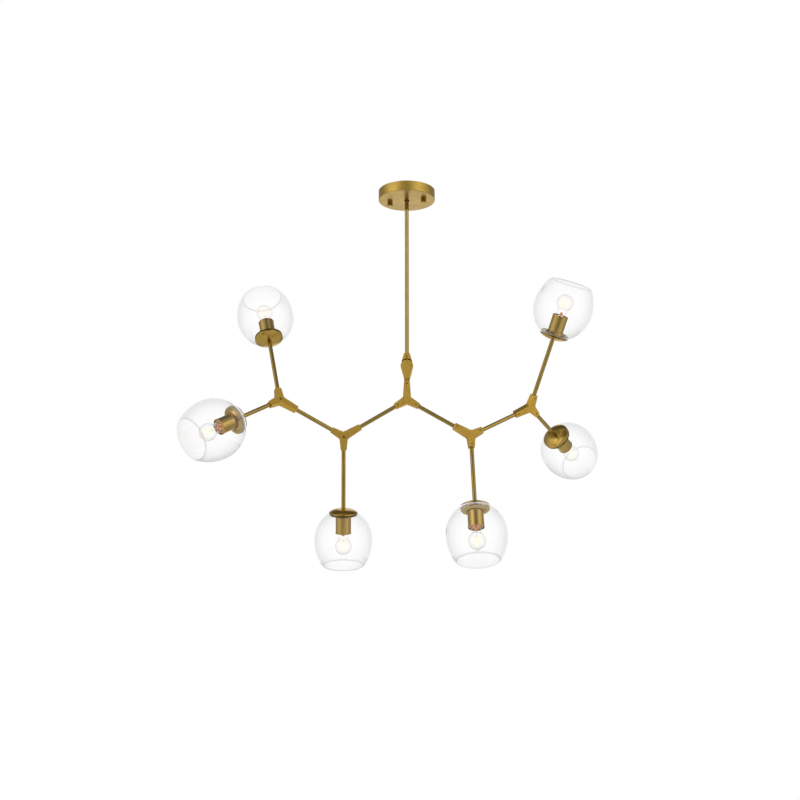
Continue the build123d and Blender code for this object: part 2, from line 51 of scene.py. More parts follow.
TRUNK_DROP = 0.567
HUB_SPACING = 0.188
LAMP_REACH = 0.200
SIDE_LAMP_REACH = 0.145
LEG_ANGLE = 120.0
TURN_LOWER_LEFT = -19.0
TURN_UPPER_LEFT = 47.5
TURN_LOWER_RIGHT = -23.0
TURN_UPPER_RIGHT = 55.5

FRONT = Vector((0, -1, 0))
UP = Vector((0, 0, 1))


def turned(vector, axis, degrees):
    """The vector after a turn about the axis."""
    return Matrix.Rotation(math.radians(degrees), 3, axis) @ vector


def branch(direction, normal, turn, side):
    """The front face of a hub on this arm, and the directions of its two other legs."""
    normal = turned(normal, direction, turn)
    back = direction * -1
    first = turned(back, normal, side * LEG_ANGLE)
    second = turned(back, normal, -side * LEG_ANGLE)
    return normal, first, second


centre = Vector((0, 0, -TRUNK_DROP))
to_lower_left = turned(UP, FRONT, LEG_ANGLE)
to_lower_right = turned(UP, FRONT, -LEG_ANGLE)
lower_left = centre + to_lower_left * HUB_SPACING
lower_right = centre + to_lower_right * HUB_SPACING
face_ll, to_upper_left, lamp_bottom_left = branch(to_lower_left, FRONT, TURN_LOWER_LEFT, 1)
face_lr, to_upper_right, lamp_bottom_right = branch(to_lower_right, FRONT, TURN_LOWER_RIGHT, -1)
upper_left = lower_left + to_upper_left * HUB_SPACING
upper_right = lower_right + to_upper_right * HUB_SPACING
face_ul, lamp_top_left, lamp_far_left = branch(to_upper_left, face_ll, TURN_UPPER_LEFT, 1)
face_ur, lamp_top_right, lamp_far_right = branch(to_upper_right, face_lr, TURN_UPPER_RIGHT, -1)

LAMPS = {
    "far_left": (upper_left, lamp_far_left, face_ul, SIDE_LAMP_REACH, "upper_left_branch"),
    "top_left": (upper_left, lamp_top_left, face_ul, LAMP_REACH, "upper_left_branch"),
    "bottom_left": (lower_left, lamp_bottom_left, face_ll, LAMP_REACH, "lower_left_branch"),
    "bottom_right": (lower_right, lamp_bottom_right, face_lr, LAMP_REACH, "lower_right_branch"),
    "top_right": (upper_right, lamp_top_right, face_ur, LAMP_REACH, "upper_right_branch"),
    "far_right": (upper_right, lamp_far_right, face_ur, SIDE_LAMP_REACH, "upper_right_branch"),
}


def placed(origin, direction, sideways):
    """A matrix whose Z axis runs along the direction and whose X axis is the sideways one."""
    z = direction.normalized()
    x = (sideways - z * sideways.dot(z)).normalized()
    y = z.cross(x)
    matrix = Matrix((x, y, z)).transposed().to_4x4()
    matrix.translation = origin
    return matrix


# Mesh helpers

POLE_RADIUS = 1e-7
FINE_SEGMENTS = 96


def new_object(name, mesh, matrix, material, smooth_angle=35.0):
    """A piece with smooth faces and edges that stay sharp beyond the given angle."""
    mesh.shade_smooth()
    mesh.set_sharp_from_angle(angle=math.radians(smooth_angle))
    piece = bpy.data.objects.new(name, mesh)
    scene.collection.objects.link(piece)
    piece.matrix_world = matrix
    piece.data.materials.append(material)
    return piece


def turned_mesh(name, profile, segments, closed=True):
    """A mesh of revolution about local Z from (radius, height) points."""
    mesh = bpy.data.meshes.new(name)
    build = bmesh.new()
    rings = []
    for radius, height in profile:
        if radius < POLE_RADIUS:
            rings.append([build.verts.new((0, 0, height))])
            continue
        ring = []
        for step in range(segments):
            angle = 2 * math.pi * step / segments
            point = (radius * math.cos(angle), radius * math.sin(angle), height)
            ring.append(build.verts.new(point))
        rings.append(ring)
    pairs = list(zip(rings, rings[1:]))
    if closed:
        pairs.append((rings[-1], rings[0]))
    for low, high in pairs:
        if len(low) == 1 and len(high) == 1:
            continue
        for step in range(segments):
            after = (step + 1) % segments
            if len(low) == 1:
                build.faces.new((low[0], high[after], high[step]))
            elif len(high) == 1:
                build.faces.new((low[step], low[after], high[0]))
            else:
                build.faces.new((low[step], low[after], high[after], high[step]))
    bmesh.ops.recalc_face_normals(build, faces=build.faces)
    build.to_mesh(mesh)
    build.free()
    return mesh


def turned_piece(name, profile, segments, matrix, material, smooth_angle=35.0, closed=False):
    """A piece of revolution; an open profile starts and ends on the axis."""
    mesh = turned_mesh(name, profile, segments, closed)
    return new_object(name, mesh, matrix, material, smooth_angle)


def arc(centre_r, centre_z, radius, start, end, steps):
    """Points on a circular arc in the (radius, height) plane, angles in degrees."""
    points = []
    for step in range(steps + 1):
        angle = math.radians(start + (end - start) * step / steps)
        points.append((centre_r + radius * math.cos(angle), centre_z + radius * math.sin(angle)))
    return points


# Material helpers

WHITE = (1.0, 1.0, 1.0)
GRAIN_DEPTH = 0.0002
CLOUD_SCALE = 26.0
STREAK_SCALE = 420.0
STREAK_BLUE_LOSS = 1.3
# Colour of the painted shade in gaps, grooves and corners
PAINTED_SHADE_TINT = (0.22, 0.17, 0.10)
# Painted shade on the rounded lip at the shade's mouth
LIP_PAINTED_GREY = (0.78, 0.79, 0.785)
LIP_START = 0.1345
LIP_END = 0.1375
GLASS_IOR = 1.45
GLASS_HIGHLIGHT = (0.4, 0.4, 0.4, 1)
EDGE_ON_STOPS = ((0.26, 0.06), (0.46, 0.17), (0.66, 0.38), (0.84, 0.70))
WAVE_DEPTH = 0.002
SWIRL_STRENGTH = 0.6
SWIRL_DEPTH = 0.004


def new_material(name):
    """A material with its node tree and its main shader."""
    material = bpy.data.materials.new(name)
    material.use_nodes = True
    tree = material.node_tree
    shader = tree.nodes["Principled BSDF"]
    return material, tree, shader


def add(tree, kind, **values):
    """A node with the given settings."""
    node = tree.nodes.new(kind)
    for key, value in values.items():
        setattr(node, key, value)
    return node


def noise(tree, scale, detail=4.0, stretch=(1, 1, 1), roughness=0.6):
    """Cloudy noise in the piece's own space, stretched along its axes."""
    place = add(tree, "ShaderNodeTexCoord")
    mapping = add(tree, "ShaderNodeMapping")
    mapping.inputs["Scale"].default_value = stretch
    texture = add(tree, "ShaderNodeTexNoise")
    texture.inputs["Scale"].default_value = scale
    texture.inputs["Detail"].default_value = detail
    texture.inputs["Roughness"].default_value = roughness
    tree.links.new(place.outputs["Object"], mapping.inputs["Vector"])
    tree.links.new(mapping.outputs["Vector"], texture.inputs["Vector"])
    return texture


def ramp(tree, source, low, high, start=0.35, end=0.65):
    """A colour ramp between two colours, driven by a texture."""
    node = add(tree, "ShaderNodeValToRGB")
    node.color_ramp.elements[0].position = start
    node.color_ramp.elements[0].color = (*low, 1)
    node.color_ramp.elements[1].position = end
    node.color_ramp.elements[1].color = (*high, 1)
    tree.links.new(source, node.inputs["Fac"])
    return node


def spread(tree, source, low, high):
    """A value that follows a texture between two limits."""
    node = add(tree, "ShaderNodeMapRange")
    node.inputs["From Min"].default_value = 0.3
    node.inputs["From Max"].default_value = 0.7
    node.inputs["To Min"].default_value = low
    node.inputs["To Max"].default_value = high
    tree.links.new(source, node.inputs["Value"])
    return node


def bump(tree, source, shader, strength, distance):
    """Fine relief on the shader's surface."""
    node = add(tree, "ShaderNodeBump")
    node.inputs["Strength"].default_value = strength
    node.inputs["Distance"].default_value = distance
    tree.links.new(source, node.inputs["Height"])
    tree.links.new(node.outputs["Normal"], shader.inputs["Normal"])


def operation(tree, kind, first, second):
    """The result of a calculation on two sockets or values."""
    node = add(tree, "ShaderNodeMath", operation=kind)
    for socket, value in zip(node.inputs, (first, second)):
        if isinstance(value, (int, float)):
            socket.default_value = value
        else:
            tree.links.new(value, socket)
    return node.outputs["Value"]


def multiplied(tree, first, second):
    """One colour times another."""
    both = add(tree, "ShaderNodeMix", data_type="RGBA", blend_type="MULTIPLY")
    both.inputs["Factor"].default_value = 1.0
    tree.links.new(first, both.inputs["A"])
    tree.links.new(second, both.inputs["B"])
    return both.outputs["Result"]


def brass(name, low, high, roughness, grain=900.0, stretch=(1, 1, 1), relief=0.03, play=0.03,
          streaks=0.0, streak_stretch=(1, 1, 0.12), painted_shade_reach=0.0):
    """Satin brass: cloudy lacquer tone, brushed grain in roughness and relief, painted shade
    darkening its recesses.
    """
    material, tree, shader = new_material(name)
    shader.inputs["Metallic"].default_value = 1.0
    clouds = noise(tree, CLOUD_SCALE, detail=3.0)
    tone = ramp(tree, clouds.outputs["Fac"], low, high)
    colour = tone.outputs["Color"]
    if streaks:
        worn = noise(tree, STREAK_SCALE, detail=3.0, stretch=streak_stretch)
        dark = (1 - streaks, 1 - streaks, 1 - STREAK_BLUE_LOSS * streaks)
        lines = ramp(tree, worn.outputs["Fac"], dark, WHITE)
        colour = multiplied(tree, colour, lines.outputs["Color"])
    # Painted shade: the colour darkens where ambient occlusion finds near surfaces, in gaps, grooves
    # and corners
    if painted_shade_reach:
        corner = add(tree, "ShaderNodeAmbientOcclusion", samples=6)
        corner.inputs["Distance"].default_value = painted_shade_reach
        shade = ramp(tree, corner.outputs["AO"], PAINTED_SHADE_TINT, WHITE, start=0.25, end=0.80)
        colour = multiplied(tree, colour, shade.outputs["Color"])
    tree.links.new(colour, shader.inputs["Base Color"])
    fine = noise(tree, grain, detail=2.0, stretch=stretch)
    rough = spread(tree, fine.outputs["Fac"], roughness - play, roughness + play)
    tree.links.new(rough.outputs["Result"], shader.inputs["Roughness"])
    bump(tree, fine.outputs["Fac"], shader, relief, GRAIN_DEPTH)
    return material


def clear_glass(name, edge_on_colour, wave=0.04, wave_scale=18.0, has_lip=False):
    """Blown glass: clear, greyer edge on and at the lip, partly its own absorption and partly painted
    shade, with faint blown waves.
    """
    material, tree, shader = new_material(name)
    shader.inputs["Transmission Weight"].default_value = 1.0
    shader.inputs["Roughness"].default_value = 0.0
    shader.inputs["IOR"].default_value = GLASS_IOR
    shader.inputs["Specular Tint"].default_value = GLASS_HIGHLIGHT
    weight = add(tree, "ShaderNodeLayerWeight")
    weight.inputs["Blend"].default_value = 0.5
    # Painted shade, partly the glass's own absorption: greyer towards edge-on view, for the dimmer
    # room seen in the glass's edges
    tone = ramp(tree, weight.outputs["Facing"], WHITE, edge_on_colour, start=0.08, end=1.0)
    for share, depth in EDGE_ON_STOPS:
        stop = tone.color_ramp.elements.new(share)
        stop.color = (*[1 - depth * (1 - part) for part in edge_on_colour], 1)
    colour = tone.outputs["Color"]
    # Painted shade: a grey band on the lip
    if has_lip:
        place = add(tree, "ShaderNodeTexCoord")
        height = add(tree, "ShaderNodeSeparateXYZ")
        tree.links.new(place.outputs["Object"], height.inputs["Vector"])
        near = add(tree, "ShaderNodeMapRange")
        near.inputs["From Min"].default_value = LIP_START
        near.inputs["From Max"].default_value = LIP_END
        tree.links.new(height.outputs["Z"], near.inputs["Value"])
        rim = ramp(tree, near.outputs["Result"], WHITE, LIP_PAINTED_GREY, start=0.0, end=1.0)
        colour = multiplied(tree, colour, rim.outputs["Color"])
    tree.links.new(colour, shader.inputs["Base Color"])
    waves = noise(tree, wave_scale, detail=1.5, roughness=0.4)
    bump(tree, waves.outputs["Fac"], shader, wave, WAVE_DEPTH)
    swirl = add(tree, "ShaderNodeBump")
    swirl.inputs["Strength"].default_value = SWIRL_STRENGTH
    swirl.inputs["Distance"].default_value = SWIRL_DEPTH
    tree.links.new(waves.outputs["Fac"], swirl.inputs["Height"])
    tree.links.new(swirl.outputs["Normal"], weight.inputs["Normal"])
    return material


def speckled(name, low, high, roughness, metallic=0.0, scale=300.0, relief=0.1):
    """A plain moulded or cast surface with fine uneven tone."""
    material, tree, shader = new_material(name)
    shader.inputs["Metallic"].default_value = metallic
    grain = noise(tree, scale, detail=4.0)
    tone = ramp(tree, grain.outputs["Fac"], low, high)
    tree.links.new(tone.outputs["Color"], shader.inputs["Base Color"])
    rough = spread(tree, grain.outputs["Fac"], roughness - 0.06, roughness + 0.08)
    tree.links.new(rough.outputs["Result"], shader.inputs["Roughness"])
    bump(tree, grain.outputs["Fac"], shader, relief, GRAIN_DEPTH)
    return material


# Metals and glasses

TUBE_LOW = (0.39, 0.262, 0.062)
TUBE_HIGH = (0.45, 0.308, 0.082)
CAST_LOW = (0.77, 0.475, 0.084)
CAST_HIGH = (0.87, 0.550, 0.108)
SPUN_LOW = (0.49, 0.322, 0.070)
SPUN_HIGH = (0.55, 0.368, 0.090)
# Castings, canopy, caps and cups carry painted shade in their corners, as far as their last value
# reaches
tube_brass = brass("tube_brass", TUBE_LOW, TUBE_HIGH, 0.13, relief=0.01, play=0.02)
casting_brass = brass("casting_brass", CAST_LOW, CAST_HIGH, 0.38, grain=1400.0, relief=0.05,
                      play=0.04, streaks=0.24, painted_shade_reach=0.005)
canopy_brass = brass("canopy_brass", SPUN_LOW, SPUN_HIGH, 0.30, grain=60.0, stretch=(1, 1, 60),
                     relief=0.06, streaks=0.16, streak_stretch=(0.1, 0.1, 1), painted_shade_reach=0.004)
cap_brass = brass("cap_brass", SPUN_LOW, SPUN_HIGH, 0.17, relief=0.01, play=0.02, painted_shade_reach=0.004)
cup_brass = brass("cup_brass", SPUN_LOW, SPUN_HIGH, 0.13, relief=0.005, play=0.015, painted_shade_reach=0.012)
ring_brass = brass("ring_brass", (0.20, 0.12, 0.025), (0.28, 0.17, 0.04), 0.30, relief=0.01)
nut_brass = brass("nut_brass", (0.34, 0.19, 0.035), (0.44, 0.26, 0.055), 0.24, relief=0.01)
screw_brass = brass("screw_brass", (0.13, 0.085, 0.025), (0.22, 0.15, 0.05), 0.32)
# These glass colours are what each glass greys to edge on, partly painted shade
shade_glass = clear_glass("shade_glass", (0.42, 0.43, 0.425), has_lip=True)
bulb_glass = clear_glass("bulb_glass", (0.52, 0.46, 0.34), wave=0.02)

bushing_black = speckled("bushing_black", (0.004, 0.004, 0.004), (0.009, 0.009, 0.009), 0.7)
bushing_black.node_tree.nodes["Principled BSDF"].inputs["Specular IOR Level"].default_value = 0.15
bracket_steel = speckled("bracket_steel", (0.42, 0.43, 0.44), (0.60, 0.61, 0.62), 0.35, 1.0, 120.0)
# The lampholder's orange is painted warm light from the hot filament, on a porcelain holder inside
# the cup
holder_porcelain = speckled("holder_porcelain", (0.80, 0.30, 0.08), (0.95, 0.48, 0.18), 0.25)
base_nickel = speckled("base_nickel", (0.55, 0.33, 0.14), (0.72, 0.47, 0.22), 0.22, 1.0, 200.0)
bulb_insulator = speckled("bulb_insulator", (0.01, 0.01, 0.012), (0.03, 0.03, 0.035), 0.3)

SLOT_MATERIALS = {
    "canopy_brass": canopy_brass,
    "bracket_steel": bracket_steel,
    "nut_brass": nut_brass,
    "bushing_black": bushing_black,
    "screw_brass": screw_brass,
    "tube_brass": tube_brass,
    "casting_brass": casting_brass,
    "cap_brass": cap_brass,
    "cup_brass": cup_brass,
    "shade_glass": shade_glass,
    "bulb_glass": bulb_glass,
    "holder_porcelain": holder_porcelain,
}

for entry in frame["record"]["subparts"]:
    solid = nodes[entry["node"]]
    for index in range(len(solid.material_slots)):
        solid.material_slots[index].material = SLOT_MATERIALS[entry["material_slot"]]


# Glass shades, finer than the solids they stand for

GLASS_RADIUS = 0.0755
GLASS_HEIGHT = 0.139
GLASS_BELLY = 0.070
GLASS_SHOULDER = 0.0364
GLASS_MOUTH = 0.053
GLASS_WALL = 0.0024
GLASS_TOP = 0.003
GLASS_HOLE = 0.019


def glass_face(inset, top, steps=48):
    """Points down one face of the glass."""
    radius = GLASS_RADIUS - inset
    above = GLASS_BELLY / math.sqrt(1 - (GLASS_SHOULDER / GLASS_RADIUS) ** 2) - inset
    below = (GLASS_HEIGHT - GLASS_BELLY) / math.sqrt(1 - (GLASS_MOUTH / GLASS_RADIUS) ** 2) - inset
    first = -math.asin((GLASS_BELLY - top) / above)
    last = math.asin((GLASS_HEIGHT - GLASS_BELLY) / below)
    points = []
    for step in range(steps + 1):
        angle = first + (last - first) * step / steps
        depth = above if angle < 0 else below
        points.append((radius * math.cos(angle), GLASS_BELLY + depth * math.sin(angle)))
    return points


def shade_profile():
    """The outer face, a rounded lip, the inner face and the flat top with its hole."""
    outer = glass_face(0, 0)
    inner = glass_face(GLASS_WALL, GLASS_TOP)
    lip_outer = outer[-1][0]
    lip_inner = inner[-1][0]
    half = (lip_outer - lip_inner) / 2
    middle = (lip_outer + lip_inner) / 2
    lip = arc(middle, GLASS_HEIGHT - half, half, 10, 170, 8)
    return [(GLASS_HOLE, 0)] + outer[:-1] + lip + inner[-2::-1] + [(GLASS_HOLE, GLASS_TOP)]


# Bulbs: envelope, screw base, contact, stem and filament

BULB_FLOOR = 0.021
BULB_BASE = 0.013
BASE_END = 0.0515
BULB_CENTRE = 0.087
BULB_RADIUS = 0.022
NECK_RADIUS = 0.012
NECK_STEPS = 10
NECK_SINK = 0.002
GLOBE_LEAN = 52.0
ENVELOPE_WALL = 0.0007

THREAD_TURNS = 6
THREAD_STEPS = 8
THREAD_WAVE = 0.0005
THREAD_MEAN = 0.0006
THREAD_START = 0.0055
THREAD_END = 0.003
SHELL_FOOT = 0.003
INSULATOR_HEIGHT = 0.0045

CONTACT_LIFT = 0.0003
CONTACT_DOME = 0.0002
CONTACT_HEIGHT = 0.0014
CONTACT_TIP_RADIUS = 0.0035
CONTACT_RADIUS = 0.0042

# Radius and height, the stem's above the end of the base and the painted glow's above its own foot

STEM_STEPS = ((0.0, 0.0), (0.0065, 0.0), (0.0042, 0.005), (0.0024, 0.012), (0.0018, 0.022),
              (0.0030, 0.0235), (0.0, 0.025))
PAINTED_GLOW_STEPS = ((0.0, 0.0), (0.0034, 0.0), (0.0030, 0.003), (0.0017, 0.0075), (0.0, 0.0085))
PAINTED_GLOW_LIFT = 0.001

FILAMENT_STRANDS = 4
FILAMENT_STEPS = 8
FILAMENT_START = 0.023
FILAMENT_TOP = 0.0105
FILAMENT_FOOT_RADIUS = 0.0040
FILAMENT_FLARE = 0.0050
FILAMENT_WIRE = 0.00024


def envelope_face(inset, steps=40):
    """Points from the neck to the top of the globe."""
    globe = BULB_RADIUS - inset
    neck = NECK_RADIUS - inset
    lean = math.radians(GLOBE_LEAN)
    touch = (globe * math.cos(lean), BULB_CENTRE - globe * math.sin(lean))
    points = []
    for step in range(NECK_STEPS):
        share = step / NECK_STEPS
        ease = share * share * (3 - 2 * share)
        height = BASE_END - NECK_SINK + (touch[1] - BASE_END + NECK_SINK) * share
        points.append((neck + (touch[0] - neck) * ease, height))
    for step in range(steps + 1):
        angle = -lean + (math.pi / 2 + lean) * step / steps
        radius = max(0.0, globe * math.cos(angle))
        points.append((radius if step < steps else 0.0, BULB_CENTRE + globe * math.sin(angle)))
    return points


def envelope_profile():
    """The outer face of the bulb's glass and back along its inner face."""
    return envelope_face(0) + envelope_face(ENVELOPE_WALL)[::-1]


def base_profile():
    """The base's rolled screw thread, drawn as rings, from the insulator to the neck."""
    foot = BULB_FLOOR + INSULATOR_HEIGHT
    points = [(0.0, foot), (BULB_BASE - SHELL_FOOT, foot)]
    low = BULB_FLOOR + THREAD_START
    high = BASE_END - THREAD_END
    steps = THREAD_TURNS * THREAD_STEPS
    for step in range(steps + 1):
        share = step / steps
        wave = math.sin(share * THREAD_TURNS * 2 * math.pi)
        points.append((BULB_BASE - THREAD_MEAN + THREAD_WAVE * wave, low + (high - low) * share))
    top = BASE_END - 0.0002
    points += [(NECK_RADIUS + 0.0006, BASE_END - 0.0005), (NECK_RADIUS - 0.001, top), (0.0, top)]
    return points


def insulator_profile():
    """The dark dished ring between the screw shell and the contact."""
    top = BULB_FLOOR + INSULATOR_HEIGHT
    return [(0.0, BULB_FLOOR + 0.0008), (0.0045, BULB_FLOOR + 0.0012),
            (BULB_BASE - 0.004, top - 0.0008), (BULB_BASE - 0.0034, top), (0.0, top)]


def contact_profile():
    """The metal button at the foot of the base."""
    tip = BULB_FLOOR + CONTACT_LIFT
    top = BULB_FLOOR + CONTACT_HEIGHT
    return [(0.0, tip), (CONTACT_TIP_RADIUS, tip + CONTACT_DOME), (CONTACT_RADIUS, top), (0.0, top)]


def stem_profile():
    """The pressed glass stem that carries the filament."""
    return [(radius, BASE_END + height) for radius, height in STEM_STEPS]


def glowing(name, colour, strength):
    """A hot wire: uneven glow along its length."""
    material, tree, shader = new_material(name)
    shader.inputs["Base Color"].default_value = (*colour, 1)
    shader.inputs["Emission Color"].default_value = (*colour, 1)
    uneven = noise(tree, 500.0)
    level = spread(tree, uneven.outputs["Fac"], strength * 0.8, strength * 1.2)
    tree.links.new(level.outputs["Result"], shader.inputs["Emission Strength"])
    return material


filament_glow = glowing("filament_glow", (1.0, 0.58, 0.20), 1.3)
# Painted glow: a glowing cone that is no lamp, for the filament's warm light in the cup's mouth
painted_glow_material = glowing("painted_glow_material", (0.92, 0.30, 0.04), 0.30)


def wire_curve(name, points, radius, material, matrix):
    """A round wire through points in a local frame, as a mesh."""
    curve = bpy.data.curves.new(name, "CURVE")
    curve.dimensions = "3D"
    curve.bevel_depth = radius
    curve.bevel_resolution = 3
    curve.resolution_u = 2
    spline = curve.splines.new("POLY")
    spline.points.add(len(points) - 1)
    for target, point in zip(spline.points, points):
        target.co = (*point, 1)
    holder = bpy.data.objects.new(name + "_curve", curve)
    scene.collection.objects.link(holder)
    bpy.context.view_layer.update()
    mesh = bpy.data.meshes.new_from_object(holder)
    bpy.data.objects.remove(holder)
    bpy.data.curves.remove(curve)
    mesh.name = name
    return new_object(name, mesh, matrix, material, 80.0)


def painted_glow_profile():
    """A painted glow at the stem's foot, where it leaves the base, standing in for the filament's
    warm light in the cup's mouth.
    """
    foot = BASE_END + PAINTED_GLOW_LIFT
    return [(radius, foot + height) for radius, height in PAINTED_GLOW_STEPS]


def filament_points():
    """A zigzag cage of hot wire round the stem, up one strand and down the next."""
    points = []
    low = BASE_END + FILAMENT_START
    high = BULB_CENTRE + FILAMENT_TOP
    for strand in range(FILAMENT_STRANDS * 2):
        angle = 2 * math.pi * strand / (FILAMENT_STRANDS * 2)
        rising = strand % 2 == 0
        for step in range(FILAMENT_STEPS + 1):
            share = step / FILAMENT_STEPS
            height = low + (high - low) * (share if rising else 1 - share)
            swell = FILAMENT_FOOT_RADIUS + FILAMENT_FLARE * (height - low) / (high - low)
            points.append((swell * math.cos(angle), swell * math.sin(angle), height))
    return points


for name, (place, direction, sideways, reach, body) in LAMPS.items():
    local = placed(place + direction * reach, direction, sideways)
    bulb_body = f"bulb_{name}"

    shade = turned_piece(f"glass_{name}", shade_profile(), 160, local, shade_glass, 60.0, closed=True)
    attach(shade, body)
    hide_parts(f"shade_{name}")

    envelope = turned_piece(f"envelope_{name}", envelope_profile(), FINE_SEGMENTS, local,
                            bulb_glass, 70.0, closed=True)
    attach(envelope, bulb_body)
    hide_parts(f"bulb_{name}")

    base = turned_piece(f"bulb_base_{name}", base_profile(), 64, local, base_nickel, 50.0)
    insulator = turned_piece(f"bulb_insulator_{name}", insulator_profile(), 48, local, bulb_insulator)
    contact = turned_piece(f"bulb_contact_{name}", contact_profile(), 32, local, base_nickel)
    stem = turned_piece(f"bulb_stem_{name}", stem_profile(), 32, local, bulb_glass, 60.0)
    filament = wire_curve(f"bulb_filament_{name}", filament_points(), FILAMENT_WIRE,
                          filament_glow, local)
    # The painted glow at the stem's foot
    painted_glow = turned_piece(f"bulb_painted_glow_{name}", painted_glow_profile(), 32, local, painted_glow_material)
    for piece in (base, insulator, contact, stem, filament, painted_glow):
        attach(piece, bulb_body)
    for piece in (shade, envelope, stem):
        piece.visible_glossy = False


# Knurled ring between the knuckle's foot and the centre hub

RING_LOW = 0.0498
RING_HIGH = 0.0542
RING_RADIUS = 0.0071
RING_INSIDE = 0.0067
RING_FLUTES = 26
RING_FLUTE_DEPTH = 0.00022
RING_EASE = 0.0004


def knurled_ring():
    """A short sleeve with upright flutes and eased ends, about the downrod's axis."""
    profile = [
        (RING_INSIDE, RING_LOW),
        (RING_RADIUS - RING_EASE, RING_LOW),
        (RING_RADIUS, RING_LOW + RING_EASE),
        (RING_RADIUS, RING_HIGH - RING_EASE),
        (RING_RADIUS - RING_EASE, RING_HIGH),
        (RING_INSIDE, RING_HIGH),
    ]
    mesh = turned_mesh("knurled_ring", profile, RING_FLUTES * 4)
    for point in mesh.vertices:
        flat = math.hypot(point.co.x, point.co.y)
        if flat < RING_RADIUS - RING_EASE / 2:
            continue
        angle = math.atan2(point.co.y, point.co.x)
        share = 1 - RING_FLUTE_DEPTH * (1 + math.cos(RING_FLUTES * angle)) / flat
        point.co.x *= share
        point.co.y *= share
    return mesh


ring = new_object("knurled_ring", knurled_ring(), Matrix.Translation(centre), ring_brass, 25.0)
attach(ring, "center_group")


# Room: floor, lamps and world

FLOOR_HEIGHT = -2.4
FLOOR_HALF = 2.6
FLOOR_FADE = (1.0, 2.3)


def stage_material():
    """Pale paint that fades to the white of the backdrop towards the floor's edges."""
    material, tree, shader = new_material("floor_paint")
    grain = noise(tree, 40.0)
    tone = ramp(tree, grain.outputs["Fac"], (0.78, 0.78, 0.78), (0.82, 0.82, 0.82))
    tree.links.new(tone.outputs["Color"], shader.inputs["Base Color"])
    shader.inputs["Roughness"].default_value = 0.8
    place = add(tree, "ShaderNodeTexCoord")
    flat = add(tree, "ShaderNodeMapping")
    flat.inputs["Scale"].default_value = (1, 1, 0)
    tree.links.new(place.outputs["Object"], flat.inputs["Vector"])
    distance = add(tree, "ShaderNodeVectorMath", operation="LENGTH")
    tree.links.new(flat.outputs["Vector"], distance.inputs[0])
    fade = add(tree, "ShaderNodeMapRange", interpolation_type="SMOOTHSTEP")
    fade.inputs["From Min"].default_value = FLOOR_FADE[0]
    fade.inputs["From Max"].default_value = FLOOR_FADE[1]
    tree.links.new(distance.outputs["Value"], fade.inputs["Value"])
    path = add(tree, "ShaderNodeLightPath")
    camera_ray = path.outputs["Is Camera Ray"]
    seen = operation(tree, "MAXIMUM", camera_ray, path.outputs["Is Transmission Ray"])
    paper = add(tree, "ShaderNodeEmission")
    paper.inputs["Strength"].default_value = 1.0
    mix = add(tree, "ShaderNodeMixShader")
    tree.links.new(operation(tree, "MULTIPLY", fade.outputs["Result"], seen), mix.inputs["Fac"])
    tree.links.new(shader.outputs["BSDF"], mix.inputs[1])
    tree.links.new(paper.outputs["Emission"], mix.inputs[2])
    tree.links.new(mix.outputs["Shader"], tree.nodes["Material Output"].inputs["Surface"])
    return material


floor_mesh = bpy.data.meshes.new("floor")
floor_corners = [
    (-FLOOR_HALF, -FLOOR_HALF, FLOOR_HEIGHT),
    (FLOOR_HALF, -FLOOR_HALF, FLOOR_HEIGHT),
    (FLOOR_HALF, FLOOR_HALF, FLOOR_HEIGHT),
    (-FLOOR_HALF, FLOOR_HALF, FLOOR_HEIGHT),
]
floor_mesh.from_pydata(floor_corners, [], [(0, 1, 2, 3)])
floor = bpy.data.objects.new("floor", floor_mesh)
scene.collection.objects.link(floor)
floor.data.materials.append(stage_material())


def area_light(name, place, target, width, height, power):
    """A soft white panel that faces the target."""
    light = bpy.data.lights.new(name, "AREA")
    light.shape = "RECTANGLE"
    light.size = width
    light.size_y = height
    light.energy = power
    holder = bpy.data.objects.new(name, light)
    scene.collection.objects.link(holder)
    holder.location = place
    holder.rotation_euler = (Vector(target) - Vector(place)).to_track_quat("-Z", "Y").to_euler()
    return holder


MIDDLE = (0, 0, -0.6)
for light in (
    area_light("key_left", (-2.6, -2.2, 0.6), MIDDLE, 2.4, 2.4, 9),
    area_light("key_right", (2.8, -1.8, 0.2), MIDDLE, 2.2, 2.4, 7),
    area_light("top", (0, 0.2, 2.2), MIDDLE, 3.0, 2.6, 12),
):
    light.visible_camera = False
    light.visible_glossy = False
    light.visible_transmission = False

# The room as the metal shows it: a white backdrop behind, wide soft panels at both sides of
# the camera with a dimmer gap between them, and dimmer corners, floor and ceiling

AROUND_LOW = ((0, 0.32), (20, 0.34), (46, 0.76), (72, 0.90),
              (100, 0.54), (124, 0.42), (150, 0.38), (180, 0.38))
AROUND_HIGH = ((0, 0.50), (14, 0.58), (34, 1.12), (52, 1.46),
               (72, 1.16), (94, 0.66), (118, 0.38), (180, 0.34))
RISE = ((-90, 0.0), (-8, 0.0), (20, 1.0), (90, 1.0))
HEIGHTS = ((-90, 0.50), (-56, 0.60), (-30, 0.95), (0, 1.0),
           (32, 1.02), (46, 0.40), (62, 0.36), (90, 0.36))
BEHIND = ((0, 0.0), (160, 0.0), (171, 1.0), (180, 1.0))
FAR_UP = ((-90, 0.0), (-62, 0.0), (-44, 1.0), (44, 1.0), (62, 0.0), (90, 0.0))
BRIGHTEST = 1.5
FILL_LEVEL = 0.7


